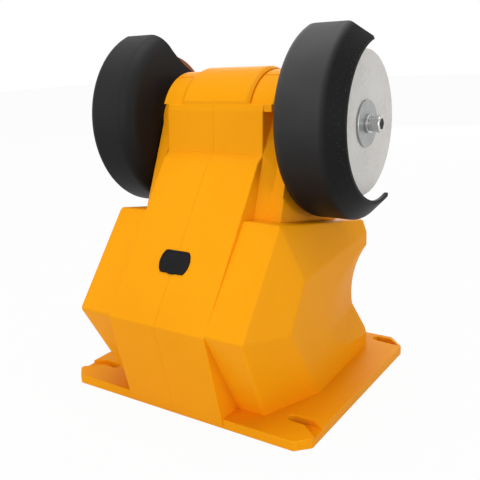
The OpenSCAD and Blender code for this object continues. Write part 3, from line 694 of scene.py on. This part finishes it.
def right_shell():
    """The right half of the housing: rounded blocks joined, hollowed, and cut at the middle."""
    shell = scooped_pedestal("housing_shell_right", 1, 0)
    neck = faceted("neck", NECK_FACETS, (-3, -99, 62), (99, 99, 170))
    round_edges(neck, NECK_ROUND, 8, 4)
    gusset = faceted("gusset", GUSSET_FACETS, (PANEL_HALF - 0.1, 0, 93), (43.6, 60, 157.5))
    round_edges(gusset, GUSSET_ROUND, 8, 3)
    panel = faceted("panel", PANEL_FACETS, (-4, 0, 2), (PANEL_HALF, 99, 150))
    round_edges(panel, PANEL_ROUND, 8, 4)
    upper = faceted("upper_block", BLOCK_FACETS, (-5, AXIS[0], 100), (PANEL_HALF - 0.01, 99, LEDGE[2]))
    round_edges(upper, BLOCK_ROUND, 8, 3)
    outline = [
        (-6, 0, 0), (-6, BAND_R, 0), (BAND_EDGE[0], BAND_R, 1), (BAND_EDGE[1], BARREL_R, 1.2),
        (BARREL_HALF, BARREL_R, 0.8), (BARREL_HALF, 0, 0),
    ]
    barrel = turned("barrel", outline, steps=160)
    cut(barrel, block("ledge_cut", (-9, 4.45, 50), (60, 90, LEDGE[2] - 0.4)))
    cut(barrel, block("band_flat", (-9, LEDGE[1] - 0.1, LEDGE[2] - 1), (60, 90, LEDGE[2] + 4)))
    cut(barrel, rod("barrel_seam", 23.5, 40, SEAM, SEAM_R, 16))
    plate = base_plate()
    round_edges(plate, PLATE_ROUND, 30, 3)
    for part in (neck, gusset, panel, upper, barrel, plate):
        cut(shell, part, "UNION")
    cut(shell, inner_space())
    cut(shell, rod("guard_seat", GUARD_SEAT[0], 160, GUARD_CENTRE, GUARD_SEAT[1], 160))
    cut(shell, rod("hub", *HUB_X, AXIS, HUB_R), "UNION")
    cut(shell, rod("hub_bore", 20, 60, AXIS, SHAFT_BORE_R))
    recess = flatted("port_recess", COVER[0] + 0.4, COVER[1] + 0.4, -1.2, 5)
    cut(recess, flatted("port_hole", COVER[0] - 3.6, COVER[1] - 4.4, -6.5, 4.9), "UNION")
    cut(shell, placed(recess, ON_SLOPE))
    cut(shell, placed(rod("switch_hole", -5, 21, (0, 0), SWITCH_HOLE_R), FACING_FRONT))
    cut(shell, block("other_half", (-40, -150, -50), (HALF_GAP, 150, LEDGE[2] + 0.2)))
    cut(shell, block("other_barrel_half", (-40, -150, LEDGE[2]), (0, 150, 260)))
    return shell


def housings():
    """Both halves: the left has a groove beside the band and a ledge end, the right has the screw holes."""
    right = right_shell()
    left = mirrored(right, "housing_shell_left")
    groove = turned("band_groove", BAND_GROOVE, steps=160)
    cut(groove, block("below_ledge", (-30, -60, 100), (-15, 60, LEDGE[2] + 0.1)))
    cut(left, groove)
    ledge = block("ledge_end", *LEDGE_END)
    round_edges(ledge, LEDGE_ROUND, 8, 3)
    cut(left, ledge, "UNION")
    for y, z in TOWERS:
        cut(right, rod("screw_hole", -3, 90, (y, z), SCREW_R, 32))
        cut(right, rod("screw_head_hole", SCREW_HEAD_X, 90, (y, z), SCREW_HEAD_R, 40))
    done(right, "base", "housing", "housing_right")
    done(left, "base", "housing", "housing_left")


# Guards

GUARD = [
    (45, 0, 0), (45, 52.6, 9), (73.3, 52.6, 1.6), (82.5, 43.4, 0.5), (82.5, 41.5, 0.25),
    (80.3, 41.5, 0.6), (72.3, 50.1, 1.2), (47.5, 50.1, 6.5), (47.5, 0, 0),
]
GUARD_FRONT_Y = AXIS[0] - 16
TOP_CUT_AT = (AXIS[0] - 49, AXIS[1] + 94.5)
TOP_CUT_R = 75
GUARD_HUB_R = 23
GUARD_HOLE_R = 9
GUARD_ROUND = 0.35


def guards():
    """A shell spun from its section and opened at the front, all but the hub, and its mirror image."""
    right = turned("guard_shell_right", GUARD, GUARD_CENTRE, steps=160)
    front = block("front_cut", (40, -200, 40), (95, GUARD_FRONT_Y, 260))
    cut(front, rod("top_cut", 40, 95, TOP_CUT_AT, TOP_CUT_R, 256), "UNION")
    cut(front, rod("hub_left", 30, 99, AXIS, GUARD_HUB_R))
    cut(right, front)
    cut(right, rod("shaft_hole", 40, 52, AXIS, GUARD_HOLE_R))
    round_edges(right, GUARD_ROUND)
    left = mirrored(right, "guard_shell_left")
    done(right, "base", "guard", "guard_right")
    done(left, "base", "guard", "guard_left")


# Wheels and their fastenings

WHEEL_BORE = (5.2, 0.3)
WASHER = [(76.02, 2.8, 0.2), (76.02, 12.2, 0.3), (77.5, 12.2, 0.45), (77.5, 2.8, 0.3)]
SPRING = [(77.52, 2.7, 0.15), (77.52, 4.9, 0.2), (78.92, 4.9, 0.2), (78.92, 2.7, 0.15)]
SPRING_TURN = math.radians(346)
SCREW = [
    (58, 0, 0), (58, 2.5, 0.4), (78.96, 2.5, 0), (78.96, 3.8, 0.2), (82.6, 3.8, 0.15), (82.6, 4.4, 0.25),
    (84.96, 4.4, 0.5), (84.96, 0, 0),
]
HEX_X = 81.2
HEX_R = 3.05


def wheel(name, node, slot, corner):
    """A wheel with broken edges, between the faces of its CAD node."""
    low, high = (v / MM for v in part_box(node))
    radius = (high.z - low.z) / 2
    outline = [(low.x, *WHEEL_BORE), (low.x, radius, corner), (high.x, radius, corner), (high.x, *WHEEL_BORE)]
    done(turned(name, outline), "spindle", slot, node)


def fastenings():
    """Washer, spring washer and screw of the right wheel, and their mirror images on the left."""
    washer = turned("washer_right", WASHER)
    spring = turned("spring_washer_right", SPRING, steps=60, turn=SPRING_TURN)
    screw = turned("clamp_screw_right", SCREW, steps=72)
    cut(screw, rod("hex_recess", HEX_X, 90, AXIS, HEX_R, 6))
    round_edges(screw, 0.15, 50, 2)
    finishes = [
        (washer, "zinc", "clamp_washers"),
        (spring, "steel", "spring_washers"),
        (screw, "steel", "clamp_screws"),
    ]
    for piece, slot, node in finishes:
        left = mirrored(piece, piece.name.replace("right", "left"))
        done(piece, "spindle", slot, node)
        done(left, "spindle", slot, node)


# Charging port cover

COVER_TOP = 0.6
TAB_HALF = 2
DISH_RIM = 1.2


def port_cover():
    """A flatted rubber cover with a dished face, a plug behind it and a pull tab on its lower edge."""
    width, height = COVER
    cover = flatted("port_cover_rubber", width, height, -1.1, COVER_TOP)
    tab_high = (TAB_HALF, height / 2 + 0.6, COVER_TOP - 0.02)
    cut(cover, block("pull_tab", (-TAB_HALF, height / 2 - 1, 0.1), tab_high), "UNION")
    cut(cover, flatted("plug", width - 5, height - 6, -3.6, -1.0), "UNION")
    cut(cover, flatted("dish", width - 2 * DISH_RIM, height - 2 * DISH_RIM, 0.42, 2))
    round_edges(cover, 0.15, 40, 3)
    done(placed(cover, ON_SLOPE), "cover", "rubber", "port_cover")


# Power switch on the front

BEZEL = [
    (15.98, 0, 0), (15.98, 8, 0.4), (-0.02, 8, 0), (-0.02, 10, 0.3),
    (-1.8, 10, 0.9), (-1.8, 6.3, 0.4), (8, 6.3, 0), (8, 0, 0),
]
BUTTON = [(6.2, 0, 0), (6.2, 6, 0.3), (-4.2, 6, 0.9), (-3.9, 3.5, 1.2), (-3.7, 0, 0)]


def switch():
    """Bezel and button, turned at the origin along X and then set facing the front."""
    ring = placed(turned("switch_bezel", BEZEL, (0, 0), steps=96), FACING_FRONT)
    cap = placed(turned("button_cap", BUTTON, (0, 0), steps=96), FACING_FRONT)
    done(cap, "button", "button", "power_button")
    done(ring, "base", "black_plastic", "switch_body")


# CAD nodes that stay, with their finish


def dress_inner_nodes():
    for part in frame["record"]["subparts"]:
        node = nodes[part["node"]]
        node.data.materials.clear()
        node.data.materials.append(FINISH[part["material_slot"]])


# Studio

FLOOR_SIZE = 8
FLOOR_Z = -0.0002
FLOOR_GREYS = (0.72, 0.70)
FLOOR_WHITE = 0.96
AMBIENT = 0.3
AIM_AT = Vector((0, 0, 0.1))
LAMPS = [
    ("key", (-0.06, 1.15, 0.42), 0.9, 6.9),
    ("fill_right", (-1.1, 0.1, 0.12), 0.6, 4.8),
    ("fill_left", (1.05, 0.55, 0.2), 0.7, 1.7),
    ("top", (0.0, 0.0, 1.1), 0.7, 6.0),
    ("front", (0.45, -1.1, 0.4), 0.8, 3.4),
]


def seen_directly(tree):
    """1 for what the camera sees, straight or through a mirror or glass, and 0 for light on the object."""
    path = tree.nodes.new("ShaderNodeLightPath").outputs
    seen = maths(tree, "MAXIMUM", path["Is Camera Ray"], path["Is Glossy Ray"])
    return maths(tree, "MAXIMUM", seen, path["Is Transmission Ray"])


def studio_floor():
    bpy.ops.object.select_all(action="DESELECT")
    bpy.ops.mesh.primitive_plane_add(size=FLOOR_SIZE, location=(0, 0, FLOOR_Z))
    floor = bpy.context.object
    floor.name = "studio_floor"
    made, tree, shader, place = start_material("floor_white", Roughness=0.9, Specular_IOR_Level=0.1)
    got = use_group(tree, "moulded", place, Cloud_Scale=3, Grain_Scale=300)
    shade = blend_colours(tree, got["Cloud"], *(rgba((grey,) * 3) for grey in FLOOR_GREYS))
    tree.links.new(shade, shader.inputs["Base Color"])
    seen = maths(tree, "MULTIPLY", seen_directly(tree), FLOOR_WHITE)
    white = put(tree, "ShaderNodeEmission", [("Color", (1, 1, 1, 1)), ("Strength", 1.0)])
    mixed = put(tree, "ShaderNodeMixShader", [(0, seen), (1, shader.outputs[0]), (2, white.outputs[0])])
    tree.links.new(mixed.outputs[0], tree.nodes["Material Output"].inputs["Surface"])
    floor.data.materials.append(made)


def studio_world():
    world = bpy.data.worlds.new("studio")
    bpy.context.scene.world = world
    world.use_nodes = True
    tree = world.node_tree
    tree.nodes.clear()
    ambient = put(tree, "ShaderNodeBackground", [("Color", (1, 1, 1, 1)), ("Strength", AMBIENT)])
    backdrop = put(tree, "ShaderNodeBackground", [("Color", (1, 1, 1, 1)), ("Strength", 1.0)])
    links = [(0, seen_directly(tree)), (1, ambient.outputs[0]), (2, backdrop.outputs[0])]
    mixed = put(tree, "ShaderNodeMixShader", links)
    out = tree.nodes.new("ShaderNodeOutputWorld")
    tree.links.new(mixed.outputs[0], out.inputs["Surface"])


def softbox(name, at, size, power):
    """A square soft light aimed at the middle of the object."""
    data = bpy.data.lights.new(name, "AREA")
    data.size = size
    data.energy = power
    lamp = bpy.data.objects.new(name, data)
    lamp.location = at
    lamp.rotation_mode = "QUATERNION"
    lamp.rotation_quaternion = (AIM_AT - Vector(at)).to_track_quat("-Z", "Y")
    bpy.context.scene.collection.objects.link(lamp)


# Assembly

set_camera()
dress_inner_nodes()
housings()
guards()
wheel("felt_disc", "felt_wheel", "felt", 0.7)
wheel("stone_disc", "stone_wheel", "stone", 0.5)
fastenings()
port_cover()
switch()
studio_floor()
studio_world()
for lamp in LAMPS:
    softbox(*lamp)
bpy.context.scene.view_settings.view_transform = "Standard"
